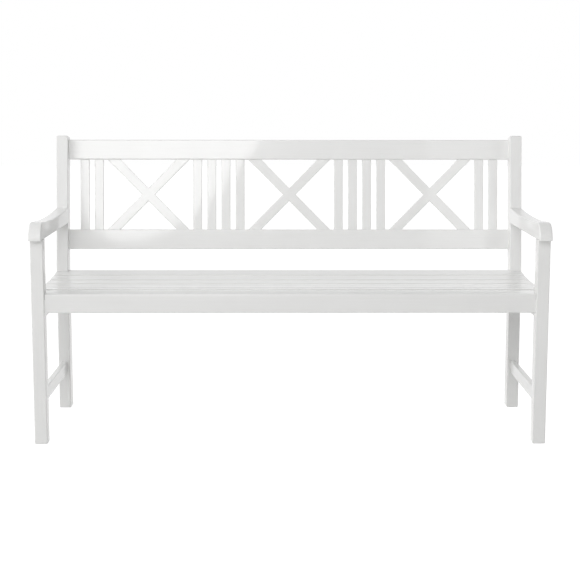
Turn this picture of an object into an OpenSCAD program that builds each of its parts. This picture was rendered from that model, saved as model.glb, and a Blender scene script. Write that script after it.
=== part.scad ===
/* [Side frames] */
// Width of the bench over the outer faces of its legs
bench_w = 1520; // [1300:1:1800]
// Width of the legs and posts, seen from the front
leg_w = 38; // [34:0.5:46]
// Depth of a front leg
front_leg_d = 38; // [34:0.5:46]
// Depth of a rear leg and of its raked post
rear_leg_d = 48; // [47:0.5:60]
// Distance from the face of a front leg to the face of a rear leg
leg_spacing = 470; // [450:1:520]
// Height of the bend in a rear leg above the floor
bend_h = 460; // [445:1:475]
// Length of the raked post above the bend
post_len = 438.5; // [430:0.5:500]
// Angle of the back from upright
rake = 7.75; // [4:0.25:12]
// Bevel round the foot of each leg and the top of each post
leg_bevel = 3; // [1:0.5:5]
// Height of the lower edge of a side stretcher above the floor
stretcher_z = 117; // [80:1:220]
// Height of a side stretcher
stretcher_h = 40; // [32:1:60]
// Thickness of a side stretcher
stretcher_t = 18; // [16:0.5:26]

/* [Armrests] */
// Height of the underside of an armrest above the floor
arm_z = 611; // [580:1:640]
// Thickness of an armrest at the lowest point of its dip
arm_t = 42; // [38:0.5:50]
// Distance from the face of the front leg back to the lowest point of the dip
arm_dip_y = 260; // [230:1:300]
// Radius of the long hollow of the dip
arm_dip_r = 3200; // [2500:50:4200]
// Radius of the rounded front end
arm_nose_r = 50; // [46:0.5:54]
// Overhang of the front end past the face of the front leg
arm_overhang = 28; // [18:1:36]

/* [Seat] */
// Height of the lowest point of the hollow seat above the floor
seat_h = 447; // [440:1:455]
// Distance from the face of the front leg back to the lowest point
scoop_y = 272; // [250:1:295]
// Radius of the hollow that the slats follow
scoop_r = 2173; // [1900:1:3000]
// Width of a seat slat
seat_slat_w = 74; // [64:0.5:77]
// Thickness of a seat slat
seat_slat_t = 18; // [16:0.5:20]
// Rounding of the long edges of a seat slat
seat_slat_r = 3; // [2:0.5:5]
// Distance of the front of the seat behind the faces of the front legs
seat_front_set = 4; // [2:0.5:8]
// Distance that the last slat reaches back between the rear posts
seat_rear_in = 21; // [14:0.5:26]
// Distance of the slat ends inside the outer faces of the legs
seat_end_in = 1; // [0.5:0.5:4]
// Height of the level front slat above the lowest point of the hollow
front_slat_rise = 5; // [2:0.5:8]
// Radius of the rounded upper edge along the front of the seat
front_slat_nose = 6; // [4:0.5:9]
// Space round the legs in the notched ends of the first and last slats
notch_fit = 1; // [0.5:0.1:1.5]
// Height of the front rail
front_rail_h = 39; // [36:0.5:50]
// Thickness of the front rail
front_rail_t = 30; // [26:0.5:34]
// Height of the rear rail, up to the lowest point of the hollow
rear_rail_h = 49; // [36:0.5:64]
// Distance of the rear rail behind the faces of the rear legs
rear_rail_set = 5; // [4:0.5:8]
// Thickness of the side rails and the bearers that carry the slats
bearer_t = 25; // [22:0.5:30]
// Height of a side rail, up to the lowest point of the hollow
side_rail_h = 53; // [42:0.5:70]
// Height of a bearer, up to the lowest point of the hollow
bearer_h = 33; // [31:0.5:36]
// Distance of each bearer from the middle of the bench
bearer_x = 243; // [180:1:320]

/* [Back] */
// Height of the lower edge of the bottom rail above the bend, along the post
bottom_rail_up = 69.5; // [60:0.5:76]
// Distance of the top rail below the top of the post
top_rail_down = 11; // [8:0.5:30]
// Height of the top and bottom rails
rail_h = 64; // [54:1:74]
// Thickness of the top, bottom and rear seat rails
rail_t = 22; // [20:0.5:24]
// Distance of the rails behind the face of the post
rail_set = 24; // [4:0.5:24]
// Width of an upright back slat
back_slat_w = 29; // [24:0.5:32]
// Thickness of the back slats and the braces
back_slat_t = 12; // [10:0.5:14]
// Space between neighbouring back slats
back_slat_gap = 17.5; // [12:0.5:22]
// Space between a post and the nearest back slat
back_end_gap = 37; // [20:0.5:50]
// Width of a diagonal brace
brace_w = 30; // [22:0.5:36]
// Space between a brace and the nearest back slat, at the rail
brace_end_gap = 12.5; // [6:0.5:24]

/* [Joints and edges] */
// Rounding of the long edges of the frame timbers
edge_r = 3; // [1.5:0.5:5]
// Rounding of the long edges of the back slats and braces
slim_edge_r = 2; // [1:0.25:3.5]
// Length of the stub tenons
tenon_len = 10; // [6:0.5:10]
// Thickness of the tenons
tenon_t = 12; // [8:0.5:14]
// Shoulder above and below a tenon
tenon_shoulder = 9; // [5:0.5:12]
// Height of the tenon on top of a front leg
arm_tenon_h = 22; // [14:1:28]
// Depth that a back slat or brace goes into a rail
housing_d = 8; // [5:0.5:12]
// Clearance all round a tenon, a slat end or a brace end
joint_fit = 0.2; // [0.1:0.05:0.4]

/* [Fasteners] */
// Diameter of a frame bolt
bolt_d = 6; // [5:0.5:8]
// Length of a frame bolt under its head
bolt_len = 72; // [62:1:90]
// Diameter of a frame bolt's head
bolt_head_d = 16; // [12:0.5:18]
// Thickness of a frame bolt's head
bolt_head_t = 2.5; // [2:0.5:4]
// Width across the corners of the hexagon socket
socket_d = 4.6; // [3:0.1:5.5]
// Diameter of a barrel nut
nut_d = 10; // [9:0.5:12]
// Length of a barrel nut
nut_len = 16; // [13:0.5:18]
// Diameter of a slat screw
screw_d = 4.5; // [3.5:0.5:5.5]
// Length of a slat screw under its head
screw_len = 40; // [36:1:42]
// Diameter of a slat screw's head
screw_head_d = 8.5; // [7:0.5:10]
// Thickness of a slat screw's head
screw_head_t = 3; // [2:0.5:4]
// Depth that a slat screw goes into its slat
screw_grip = 12; // [8:0.5:15]
// Clearance round bolts, nuts and screws
bolt_fit = 0.3; // [0.15:0.05:0.5]

/* [Hidden] */

white_lacquer = [0.94, 0.94, 0.92];
zinc = "silver";

// Facets of the small circles and of the long curves
fine = 48;
long_curve = 1440;

// Side frames: the right one lies at +X, and the left one mirrors it
half_w = bench_w / 2;
inner_x = half_w - leg_w;
leg_x = half_w - leg_w / 2;

// Seat: the level front slat and the five behind it lie at one even pitch
seat_slat_count = 6;
seat_depth = leg_spacing + seat_rear_in - seat_front_set;
seat_slat_pitch = (seat_depth - seat_slat_w) / (seat_slat_count - 1);
scoop_z = seat_h + scoop_r;
side_x = half_w - seat_end_in;
function slat_y(number) = seat_front_set + seat_slat_w / 2 + (number - 1) * seat_slat_pitch;
function slat_tilt(number) = asin((slat_y(number) - scoop_y) / scoop_r);

// The carriers are level under the front slat and hollow behind it
front_slat_z = seat_h + front_slat_rise;
carrier_top = front_slat_z - seat_slat_t;
level_end = (slat_y(1) + slat_y(2)) / 2;
hollow_z = seat_h - seat_slat_t;
front_rail_z = carrier_top - front_rail_h;
rear_rail_z = hollow_z - rear_rail_h;
side_rail_z = hollow_z - side_rail_h;
bearer_z = hollow_z - bearer_h;
rear_rail_y = leg_spacing + rear_rail_set;
bearer_front_y = seat_front_set + front_rail_t;

// Back: heights and depths run along the raked post, from the bend
top_rail_up = post_len - top_rail_down - rail_h;
panel_low = bottom_rail_up + rail_h;
panel_high = top_rail_up;
panel_h = panel_high - panel_low;
panel_mid = (panel_low + panel_high) / 2;
slat_back_y = rail_set + (rail_t - back_slat_t) / 2;
back_slat_pitch = back_slat_w + back_slat_gap;
outer_group_w = 2 * back_slat_w + back_slat_gap;
inner_group_w = 4 * back_slat_w + 3 * back_slat_gap;
brace_panel_w = (2 * inner_x - 2 * back_end_gap - 2 * outer_group_w - 2 * inner_group_w) / 3;
brace_panel_x = brace_panel_w + inner_group_w;

// Left edge of each back slat: a pair, two groups of four, and a pair
inner_group_x = brace_panel_w / 2;
outer_group_x = inner_x - back_end_gap - outer_group_w;
back_slat_edges = [
    for (k = [0 : 1]) -outer_group_x - outer_group_w + k * back_slat_pitch,
    for (k = [0 : 3]) -inner_group_x - inner_group_w + k * back_slat_pitch,
    for (k = [0 : 3]) inner_group_x + k * back_slat_pitch,
    for (k = [0 : 1]) outer_group_x + k * back_slat_pitch
];

// Slope of a brace whose corners keep brace_end_gap from the slats at both rails
brace_reach = brace_panel_w - 2 * brace_end_gap;
brace_diagonal = sqrt(brace_reach * brace_reach + panel_h * panel_h);
brace_slope = atan(panel_h / brace_reach) + asin(brace_w / brace_diagonal);

// Armrest: the round nose runs into the long hollow of the dip. It is let in by
// arm_blend, so that the two arcs cross at a definite point, a crease of a degree or two
arm_blend = 0.02;
nose_y = arm_nose_r - arm_overhang;
dip_z = arm_z + arm_t + arm_dip_r;
arm_reach = arm_nose_r + arm_dip_r;
nose_z = dip_z - sqrt(arm_reach * arm_reach - (arm_dip_y - nose_y) * (arm_dip_y - nose_y));
nose_touch_y = nose_y + (arm_dip_y - nose_y) * arm_nose_r / arm_reach;
arm_end = leg_spacing + rear_leg_d;

// The object stands with its origin on the floor, midway between the noses of
// the armrests and the backs of the posts
rearmost_y = leg_spacing + (post_len - leg_bevel) * sin(rake) + rear_leg_d * cos(rake);

module placed() {
    translate([0, (arm_overhang - rearmost_y) / 2, 0]) children();
}

// Rectangle with rounded corners
module soft_rect(w, h, r) {
    translate([r, 0]) square([w - 2 * r, h]);
    translate([0, r]) square([w, h - 2 * r]);
    for (x = [r, w - r], y = [r, h - r]) translate([x, y]) circle(r, $fn = fine);
}

// Extrusion along X of an outline drawn in Y and Z
module along_x(x0, x1) {
    translate([x0, 0, 0]) rotate([90, 0, 90]) linear_extrude(x1 - x0) children();
}

// Extrusion along Y of an outline drawn in X and Z
module along_y(y0, y1) {
    translate([0, y1, 0]) rotate([90, 0, 0]) linear_extrude(y1 - y0) children();
}

// Cylinder along -X from the origin
module rod_x(d, len) {
    rotate([0, -90, 0]) cylinder(d = d, h = len, $fn = fine);
}

// Frame of the raked post: origin on its face at the bend, Z up the post
module raked() {
    translate([0, leg_spacing, bend_h]) rotate([-rake, 0, 0]) children();
}

// Wedges that bevel the four edges of the end of a post at z = 0
module end_bevels(w, d) {
    reach = 2 * max(w, d);
    cut = leg_bevel * sqrt(2);
    for (y = [0, d]) {
        translate([w / 2, y, 0]) rotate([45, 0, 0]) cube([reach, cut, cut], center = true);
    }
    for (x = [0, w]) {
        translate([x, d / 2, 0]) rotate([0, 45, 0]) cube([cut, reach, cut], center = true);
    }
}

// Stub tenon along X on a rail, drawn from its shoulder at x = inner_x
module rail_tenon(y, z, h, fit = 0) {
    translate([inner_x - fit, y - tenon_t / 2 - fit, z + tenon_shoulder - fit])
        cube([tenon_len + 2 * fit, tenon_t + 2 * fit, h - 2 * tenon_shoulder + 2 * fit]);
}

// Stub tenon along Y on a side rail, stretcher or bearer, centred on x
module side_tenon(x, y, z0, z1, fit = 0) {
    translate([x - tenon_t / 2 - fit, y - fit, z0 - fit])
        cube([tenon_t + 2 * fit, tenon_len + 2 * fit, z1 - z0 + 2 * fit]);
}

// Ends of the right side rail's two tenons, front and rear
module side_rail_tenons(fit = 0) {
    low = side_rail_z + tenon_shoulder;
    high = hollow_z - tenon_shoulder;
    side_tenon(leg_x, front_leg_d - tenon_len, low, high, fit);
    side_tenon(leg_x, leg_spacing, low, high, fit);
}

// Ends of the right stretcher's two tenons, front and rear
module stretcher_tenons(fit = 0) {
    low = stretcher_z + tenon_shoulder;
    high = stretcher_z + stretcher_h - tenon_shoulder;
    side_tenon(leg_x, front_leg_d - tenon_len, low, high, fit);
    side_tenon(leg_x, leg_spacing, low, high, fit);
}

// Ends of the right bearer's two tenons, front and rear
module bearer_tenons(fit = 0) {
    low = bearer_z + tenon_shoulder;
    high = hollow_z - tenon_shoulder / 2;
    side_tenon(bearer_x, bearer_front_y - tenon_len, low, high, fit);
    side_tenon(bearer_x, rear_rail_y, low, high, fit);
}

front_rail_mid_y = seat_front_set + front_rail_t / 2;
rear_rail_mid_y = rear_rail_y + rail_t / 2;
rail_mid_y = rail_set + rail_t / 2;

// Tenons of the long rails at the right-hand side frame
module front_rail_tenon(fit = 0) {
    rail_tenon(front_rail_mid_y, front_rail_z, front_rail_h, fit);
}

module rear_rail_tenon(fit = 0) {
    rail_tenon(rear_rail_mid_y, rear_rail_z, rear_rail_h, fit);
}

module top_rail_tenon(fit = 0) {
    rail_tenon(rail_mid_y, top_rail_up, rail_h, fit);
}

module bottom_rail_tenon(fit = 0) {
    rail_tenon(rail_mid_y, bottom_rail_up, rail_h, fit);
}

// Tenon on top of the right front leg, and the armrest's own tenon into the post
module arm_front_tenon(fit = 0) {
    side = leg_w - 2 * tenon_shoulder;
    depth = front_leg_d - 2 * tenon_shoulder;
    translate([leg_x - side / 2 - fit, tenon_shoulder - fit, arm_z - fit])
        cube([side + 2 * fit, depth + 2 * fit, arm_tenon_h + 2 * fit]);
}

module arm_rear_tenon(fit = 0) {
    up = (arm_z - bend_h) / cos(rake);
    raked() translate([leg_x - tenon_t / 2 - fit, -tenon_len, up + tenon_shoulder - fit])
        cube([tenon_t + 2 * fit, 2 * tenon_len + fit, arm_t - 2 * tenon_shoulder + 2 * fit]);
}

// Bolts: each site lies on the outer face of the right side frame, with the bolt along -X
module bolt_site(y, z) {
    translate([half_w, y, z]) children();
}

module front_rail_bolt() {
    bolt_site(front_rail_mid_y, front_rail_z + front_rail_h / 2) children();
}

module rear_rail_bolt() {
    bolt_site(rear_rail_mid_y, rear_rail_z + rear_rail_h / 2) children();
}

module back_rail_bolt(up) {
    raked() bolt_site(rail_mid_y, up + rail_h / 2) children();
}

module each_bolt_site() {
    front_rail_bolt() children();
    rear_rail_bolt() children();
    back_rail_bolt(bottom_rail_up) children();
    back_rail_bolt(top_rail_up) children();
}

nut_inset = bolt_head_t + bolt_len - nut_d / 2 - 3;

module bolt() {
    difference() {
        union() {
            rod_x(bolt_head_d, bolt_head_t);
            rod_x(bolt_d, bolt_head_t + bolt_len);
        }
        translate([1, 0, 0]) rotate([0, -90, 0]) cylinder(d = socket_d, h = 1 + 0.7 * bolt_head_t, $fn = 6);
    }
}

module bolt_hole() {
    translate([1, 0, 0]) rod_x(bolt_head_d + 2 * bolt_fit, 1 + bolt_head_t);
    rod_x(bolt_d + 2 * bolt_fit, bolt_head_t + bolt_len + 2);
}

// Barrel nut across a rail, with its cross hole on the bolt
module nut(d, len) {
    translate([-nut_inset, 0, 0]) rotate([-90, 0, 0]) translate([0, 0, -nut_len / 2])
        cylinder(d = d, h = len, $fn = fine);
}

module barrel_nut() {
    difference() {
        nut(nut_d, nut_len);
        rod_x(bolt_d + 2 * bolt_fit, 2 * bolt_len);
    }
}

// Blind hole for a barrel nut, open at the rear face of a rail
module nut_hole(half_t) {
    nut(nut_d + 2 * bolt_fit, nut_len / 2 + half_t + 1);
}

// Frame of a seat slat: origin on the middle of its top, turned to follow the hollow
module on_slat(number) {
    if (number == 1) {
        translate([0, slat_y(1), front_slat_z]) children();
    } else {
        translate([0, scoop_y, scoop_z]) rotate([slat_tilt(number), 0, 0])
            translate([0, 0, -scoop_r]) children();
    }
}

// Screws: the front slat's stand behind the legs, the others' in the middle of the slat
front_screw_y = 17;
screw_drop = seat_slat_t - screw_grip + screw_len;

module at_screw(number, x) {
    on_slat(number) translate([x, number == 1 ? front_screw_y : 0, -screw_drop]) children();
}

module slat_screw(number, x) {
    at_screw(number, x) {
        translate([0, 0, -screw_head_t]) cylinder(d = screw_head_d, h = screw_head_t, $fn = fine);
        cylinder(d = screw_d, h = screw_len - screw_d, $fn = fine);
        translate([0, 0, screw_len - screw_d]) cylinder(d1 = screw_d, d2 = 1, h = screw_d, $fn = fine);
    }
}

// Screw holes through a bearer or side rail, with deep counterbores from below
module slat_screw_holes(x) {
    for (number = [1 : seat_slat_count]) at_screw(number, x) {
        translate([0, 0, -2 * side_rail_h])
            cylinder(d = screw_head_d + 4 * bolt_fit, h = 2 * side_rail_h, $fn = fine);
        cylinder(d = screw_d + 2 * bolt_fit, h = screw_len, $fn = fine);
    }
}

// Outline of all that lies above the carriers: level in front, then the
// hollow with a flat seating for each slat
module above_carriers() {
    translate([-level_end, carrier_top]) square([2 * level_end, seat_slat_w]);
    intersection() {
        translate([level_end, hollow_z - seat_slat_w]) square([seat_depth, 4 * seat_slat_w]);
        translate([scoop_y, scoop_z]) {
            circle(r = scoop_r + seat_slat_t, $fn = long_curve);
            for (number = [2 : seat_slat_count]) rotate(slat_tilt(number))
                translate([-seat_slat_w / 2, -scoop_r - seat_slat_t]) square([seat_slat_w, seat_slat_t]);
        }
    }
}

module front_leg() {
    color(white_lacquer) difference() {
        union() {
            translate([inner_x, 0, 0]) linear_extrude(arm_z) soft_rect(leg_w, front_leg_d, edge_r);
            arm_front_tenon();
        }
        translate([inner_x, 0, 0]) end_bevels(leg_w, front_leg_d);
        front_rail_tenon(joint_fit);
        side_rail_tenons(joint_fit);
        stretcher_tenons(joint_fit);
        front_rail_bolt() bolt_hole();
    }
}

// Rear leg: an upright part and a raked post that meet in a mitre at the bend
module rear_leg() {
    big = 2 * (bend_h + post_len);
    color(white_lacquer) difference() {
        union() {
            intersection() {
                translate([inner_x, leg_spacing, 0]) linear_extrude(bend_h + rear_leg_d)
                    soft_rect(leg_w, rear_leg_d, edge_r);
                translate([0, leg_spacing, bend_h]) rotate([-rake / 2, 0, 0])
                    translate([0, -big / 2, -big]) cube([big, big, big]);
            }
            intersection() {
                raked() translate([inner_x, 0, -rear_leg_d]) linear_extrude(post_len + rear_leg_d)
                    soft_rect(leg_w, rear_leg_d, edge_r);
                translate([0, leg_spacing, bend_h]) rotate([-rake / 2, 0, 0])
                    translate([0, -big / 2, 0]) cube([big, big, big]);
            }
        }
        translate([inner_x, leg_spacing, 0]) end_bevels(leg_w, rear_leg_d);
        raked() translate([inner_x, 0, post_len]) end_bevels(leg_w, rear_leg_d);
        side_rail_tenons(joint_fit);
        stretcher_tenons(joint_fit);
        rear_rail_tenon(joint_fit);
        arm_rear_tenon(joint_fit);
        raked() bottom_rail_tenon(joint_fit);
        raked() top_rail_tenon(joint_fit);
        rear_rail_bolt() bolt_hole();
        back_rail_bolt(bottom_rail_up) bolt_hole();
        back_rail_bolt(top_rail_up) bolt_hole();
    }
}

// Side view of an armrest that runs past the post: nose and dip
module arm_outline() {
    intersection() {
        translate([-2 * arm_overhang, arm_z - edge_r]) square([arm_end + 2 * arm_overhang, 3 * arm_nose_r]);
        union() {
            translate([nose_y, nose_z + arm_blend]) circle(r = arm_nose_r, $fn = 2 * fine);
            difference() {
                translate([nose_touch_y, arm_z - edge_r]) square([arm_end - nose_touch_y, 2 * arm_t]);
                translate([arm_dip_y, dip_z]) circle(r = arm_dip_r, $fn = 2 * long_curve);
            }
        }
    }
}

module armrest() {
    color(white_lacquer) {
        difference() {
            intersection() {
                along_x(inner_x, half_w) arm_outline();
                along_y(-2 * arm_overhang, arm_end) translate([inner_x, arm_z])
                    soft_rect(leg_w, 3 * arm_nose_r, edge_r);
            }
            raked() translate([0, 0, -bend_h]) cube([bench_w, bench_w, 2 * bend_h]);
            arm_front_tenon(joint_fit);
        }
        arm_rear_tenon();
    }
}

module side_stretcher() {
    color(white_lacquer) {
        along_y(front_leg_d, leg_spacing) translate([leg_x - stretcher_t / 2, stretcher_z])
            soft_rect(stretcher_t, stretcher_h, edge_r);
        stretcher_tenons();
    }
}

module seat_side_rail() {
    color(white_lacquer) difference() {
        union() {
            along_x(leg_x - bearer_t / 2, leg_x + bearer_t / 2) difference() {
                translate([front_leg_d, side_rail_z])
                    square([leg_spacing - front_leg_d, front_slat_z + seat_slat_t - side_rail_z]);
                above_carriers();
            }
            side_rail_tenons();
        }
        slat_screw_holes(leg_x);
    }
}

module seat_bearer() {
    color(white_lacquer) difference() {
        union() {
            along_x(bearer_x - bearer_t / 2, bearer_x + bearer_t / 2) difference() {
                translate([bearer_front_y, bearer_z])
                    square([rear_rail_y - bearer_front_y, front_slat_z + seat_slat_t - bearer_z]);
                above_carriers();
            }
            bearer_tenons();
        }
        slat_screw_holes(bearer_x);
    }
}

// Front rail: rounded below and square above, where the front slat lies flush with it
module front_rail_outline() {
    translate([seat_front_set, front_rail_z]) {
        soft_rect(front_rail_t, front_rail_h, edge_r);
        translate([0, front_rail_h / 2]) square([front_rail_t, front_rail_h / 2]);
    }
}

// Rear rail: its top follows the underside of the last slat
module rear_rail_outline() {
    difference() {
        translate([rear_rail_y, rear_rail_z]) {
            soft_rect(rail_t, rear_rail_h, edge_r);
            translate([0, rear_rail_h / 2]) square([rail_t, rear_rail_h]);
        }
        above_carriers();
    }
}

module both_sides() {
    children();
    mirror([1, 0, 0]) children();
}

module front_seat_rail() {
    color(white_lacquer) difference() {
        union() {
            along_x(-inner_x, inner_x) front_rail_outline();
            both_sides() front_rail_tenon();
        }
        both_sides() bearer_tenons(joint_fit);
        both_sides() front_rail_bolt() bolt_hole();
        both_sides() front_rail_bolt() nut_hole(front_rail_t / 2);
    }
}

module rear_seat_rail() {
    color(white_lacquer) difference() {
        union() {
            along_x(-inner_x, inner_x) rear_rail_outline();
            both_sides() rear_rail_tenon();
        }
        both_sides() bearer_tenons(joint_fit);
        both_sides() rear_rail_bolt() bolt_hole();
        both_sides() rear_rail_bolt() nut_hole(rail_t / 2);
    }
}

// End view of a slat, about the middle of its top
module slat_outline() {
    translate([-seat_slat_w / 2, -seat_slat_t]) soft_rect(seat_slat_w, seat_slat_t, seat_slat_r);
}

// The front slat: a full nose above, and a square edge where it meets the front rail
module front_slat_outline() {
    half = seat_slat_w / 2;
    translate([-half, -seat_slat_t]) {
        translate([half / 2, 0]) soft_rect(seat_slat_w - half / 2, seat_slat_t, seat_slat_r);
        square([half, seat_slat_t - front_slat_nose]);
        translate([front_slat_nose, 0]) square([half - front_slat_nose, seat_slat_t]);
        translate([front_slat_nose, seat_slat_t - front_slat_nose]) circle(front_slat_nose, $fn = fine);
    }
}

// Space taken by the right-hand legs where they pass the first and last slats
module leg_notches() {
    translate([inner_x - notch_fit, -front_leg_d, bearer_z])
        cube([2 * leg_w, 2 * front_leg_d + notch_fit, 2 * seat_slat_w]);
    translate([inner_x - notch_fit, leg_spacing - notch_fit, bearer_z])
        cube([2 * leg_w, 2 * rear_leg_d, 2 * seat_slat_w]);
}

module seat_slat(number) {
    color(white_lacquer) difference() {
        on_slat(number) along_x(-side_x, side_x) if (number == 1) front_slat_outline(); else slat_outline();
        both_sides() leg_notches();
        both_sides() for (x = [leg_x, bearer_x]) at_screw(number, x)
            cylinder(d = screw_d + bolt_fit, h = screw_len + 1, $fn = fine);
    }
}

// Upright back slat in the raked frame, with its ends in the rails
module slat_bar(number, fit = 0) {
    x = back_slat_edges[number - 1];
    low = panel_low - housing_d;
    translate([x - fit, slat_back_y - fit, low - fit])
        linear_extrude(panel_h + 2 * housing_d + 2 * fit)
            soft_rect(back_slat_w + 2 * fit, back_slat_t + 2 * fit, slim_edge_r);
}

module back_slat(number) {
    color(white_lacquer) raked() slat_bar(number);
}

// Sloping bar through the middle of a brace panel, drawn in X and Z
module brace_strip(x, side, w) {
    translate([x, panel_mid]) rotate(side * brace_slope) square([2 * brace_diagonal, w], center = true);
}

// Diagonal brace in the raked frame, with its ends cut level inside the rails
module brace_bar(x, side, fit = 0) {
    high = panel_h + 2 * housing_d + 2 * fit;
    along_y(slat_back_y - fit, slat_back_y + back_slat_t + fit) intersection() {
        brace_strip(x, side, brace_w + 2 * fit);
        translate([x - brace_panel_w, panel_mid - high / 2]) square([2 * brace_panel_w, high]);
    }
}

// Brace with the half-lap where it crosses its partner
module back_brace(panel, side) {
    x = panel * brace_panel_x;
    mid_y = slat_back_y + back_slat_t / 2;
    lap_from = side > 0 ? mid_y : slat_back_y - 1;
    color(white_lacquer) raked() difference() {
        brace_bar(x, side);
        along_y(lap_from, lap_from + back_slat_t / 2 + 1) brace_strip(x, -side, brace_w + 2 * joint_fit);
    }
}

// Housings for the back slats and braces
module back_housings() {
    for (number = [1 : len(back_slat_edges)]) slat_bar(number, joint_fit);
    for (panel = [-1, 0, 1], side = [-1, 1]) brace_bar(panel * brace_panel_x, side, joint_fit);
}

// Long rail of the back, in the raked frame, with its lower edge at up
module back_rail(up) {
    difference() {
        along_x(-inner_x, inner_x) translate([rail_set, up]) soft_rect(rail_t, rail_h, edge_r);
        back_housings();
        both_sides() bolt_site(rail_mid_y, up + rail_h / 2) bolt_hole();
        both_sides() bolt_site(rail_mid_y, up + rail_h / 2) nut_hole(rail_t / 2);
    }
}

module back_top_rail() {
    color(white_lacquer) raked() {
        back_rail(top_rail_up);
        both_sides() difference() {
            top_rail_tenon();
            bolt_site(rail_mid_y, top_rail_up + rail_h / 2) bolt_hole();
        }
    }
}

module back_bottom_rail() {
    color(white_lacquer) raked() {
        back_rail(bottom_rail_up);
        both_sides() difference() {
            bottom_rail_tenon();
            bolt_site(rail_mid_y, bottom_rail_up + rail_h / 2) bolt_hole();
        }
    }
}

module frame_bolts() {
    color(zinc) both_sides() each_bolt_site() bolt();
}

module barrel_nuts() {
    color(zinc) both_sides() each_bolt_site() barrel_nut();
}

module slat_screws() {
    color(zinc) both_sides() for (x = [leg_x, bearer_x], number = [1 : seat_slat_count])
        slat_screw(number, x);
}

placed() mirror([1, 0, 0]) front_leg();  // front_leg_left
placed() front_leg();  // front_leg_right
placed() mirror([1, 0, 0]) rear_leg();  // rear_leg_left
placed() rear_leg();  // rear_leg_right
placed() mirror([1, 0, 0]) armrest();  // armrest_left
placed() armrest();  // armrest_right
placed() mirror([1, 0, 0]) side_stretcher();  // side_stretcher_left
placed() side_stretcher();  // side_stretcher_right
placed() mirror([1, 0, 0]) seat_side_rail();  // seat_side_rail_left
placed() seat_side_rail();  // seat_side_rail_right
placed() mirror([1, 0, 0]) seat_bearer();  // seat_bearer_left
placed() seat_bearer();  // seat_bearer_right
placed() front_seat_rail();
placed() rear_seat_rail();
placed() seat_slat(1);  // seat_slat_1
placed() seat_slat(2);  // seat_slat_2
placed() seat_slat(3);  // seat_slat_3
placed() seat_slat(4);  // seat_slat_4
placed() seat_slat(5);  // seat_slat_5
placed() seat_slat(6);  // seat_slat_6
placed() back_top_rail();
placed() back_bottom_rail();
placed() back_slat(1);  // back_slat_01
placed() back_slat(2);  // back_slat_02
placed() back_slat(3);  // back_slat_03
placed() back_slat(4);  // back_slat_04
placed() back_slat(5);  // back_slat_05
placed() back_slat(6);  // back_slat_06
placed() back_slat(7);  // back_slat_07
placed() back_slat(8);  // back_slat_08
placed() back_slat(9);  // back_slat_09
placed() back_slat(10);  // back_slat_10
placed() back_slat(11);  // back_slat_11
placed() back_slat(12);  // back_slat_12
placed() back_brace(-1, 1);  // left_brace_rising
placed() back_brace(-1, -1);  // left_brace_falling
placed() back_brace(0, 1);  // centre_brace_rising
placed() back_brace(0, -1);  // centre_brace_falling
placed() back_brace(1, 1);  // right_brace_rising
placed() back_brace(1, -1);  // right_brace_falling
placed() frame_bolts();
placed() barrel_nuts();
placed() slat_screws();
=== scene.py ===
"""Looks of a white lacquered three-seater garden bench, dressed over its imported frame.

Lengths are in metres in Blender and the grain attribute is in millimetres.
"""

import math

import bmesh
import bpy
import numpy as np
from bpy.props import FloatProperty, FloatVectorProperty, IntProperty, PointerProperty
from mathutils import Matrix, Vector


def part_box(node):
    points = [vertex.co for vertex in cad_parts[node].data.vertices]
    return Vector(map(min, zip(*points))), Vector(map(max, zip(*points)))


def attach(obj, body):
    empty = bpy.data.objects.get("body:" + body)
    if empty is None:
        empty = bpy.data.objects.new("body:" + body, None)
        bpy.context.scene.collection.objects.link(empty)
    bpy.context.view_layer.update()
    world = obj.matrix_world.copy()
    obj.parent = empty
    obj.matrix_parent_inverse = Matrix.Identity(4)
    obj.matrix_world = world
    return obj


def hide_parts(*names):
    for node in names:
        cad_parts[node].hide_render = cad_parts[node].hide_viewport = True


bl_info = {
    "name": "White garden bench",
    "version": (1, 0, 0),
    "blender": (4, 5, 0),
    "location": "View3D > Sidebar > Bench",
    "description": "Lacquered timbers, slats and fasteners of a three-seater garden bench",
    "category": "Object",
}

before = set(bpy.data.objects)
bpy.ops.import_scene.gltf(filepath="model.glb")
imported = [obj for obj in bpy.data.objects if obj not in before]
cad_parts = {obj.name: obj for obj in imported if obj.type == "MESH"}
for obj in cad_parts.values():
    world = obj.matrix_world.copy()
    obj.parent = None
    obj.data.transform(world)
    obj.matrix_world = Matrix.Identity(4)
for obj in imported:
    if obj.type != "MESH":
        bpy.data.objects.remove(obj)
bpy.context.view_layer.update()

SIDES = ("left", "right")
PANELS = ("left", "centre", "right")
WHITE = (1, 1, 1, 1)
# Points closer than this are one point of the CAD, in metres
SAME_POINT = 2e-6
# Edges that turn more than this stay sharp
SHARP = math.radians(40)
# Faces of the CAD that turn less than this are one flat face
FLAT = math.radians(0.05)
# Steps in the round nose of an armrest, and in its dip
OUTLINE_STEPS = 24
# How far the grain moves on from one timber to the next, along and across it, in mm
STRETCH = np.array((977.0, 331.0, 173.0))
# The most that a copy's grain moves on at random, in mm
RANDOM_STRETCH = (9000, 3000, 3000)


def linear(code):
    """Linear red, green and blue of an sRGB hex colour."""
    parts = [int(code[k : k + 2], 16) / 255 for k in (0, 2, 4)]
    return [p / 12.92 if p <= 0.04045 else ((p + 0.055) / 1.055) ** 2.4 for p in parts]


def length(name, millimetres, description):
    """A size in metres, given here in millimetres."""
    return FloatProperty(
        name=name,
        description=description,
        default=millimetres / 1000,
        min=0,
        soft_max=10,
        precision=4,
        unit="LENGTH",
        subtype="DISTANCE",
    )


def power(name, watts, description):
    """The power of a lamp, in watts."""
    return FloatProperty(
        name=name, description=description, default=watts, min=0, subtype="POWER", unit="POWER"
    )


def wall(name, strength):
    """The strength of the soft light from one wall of the studio."""
    return FloatProperty(
        name=name, description="Strength of its soft light", default=strength, min=0, max=4
    )


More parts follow.
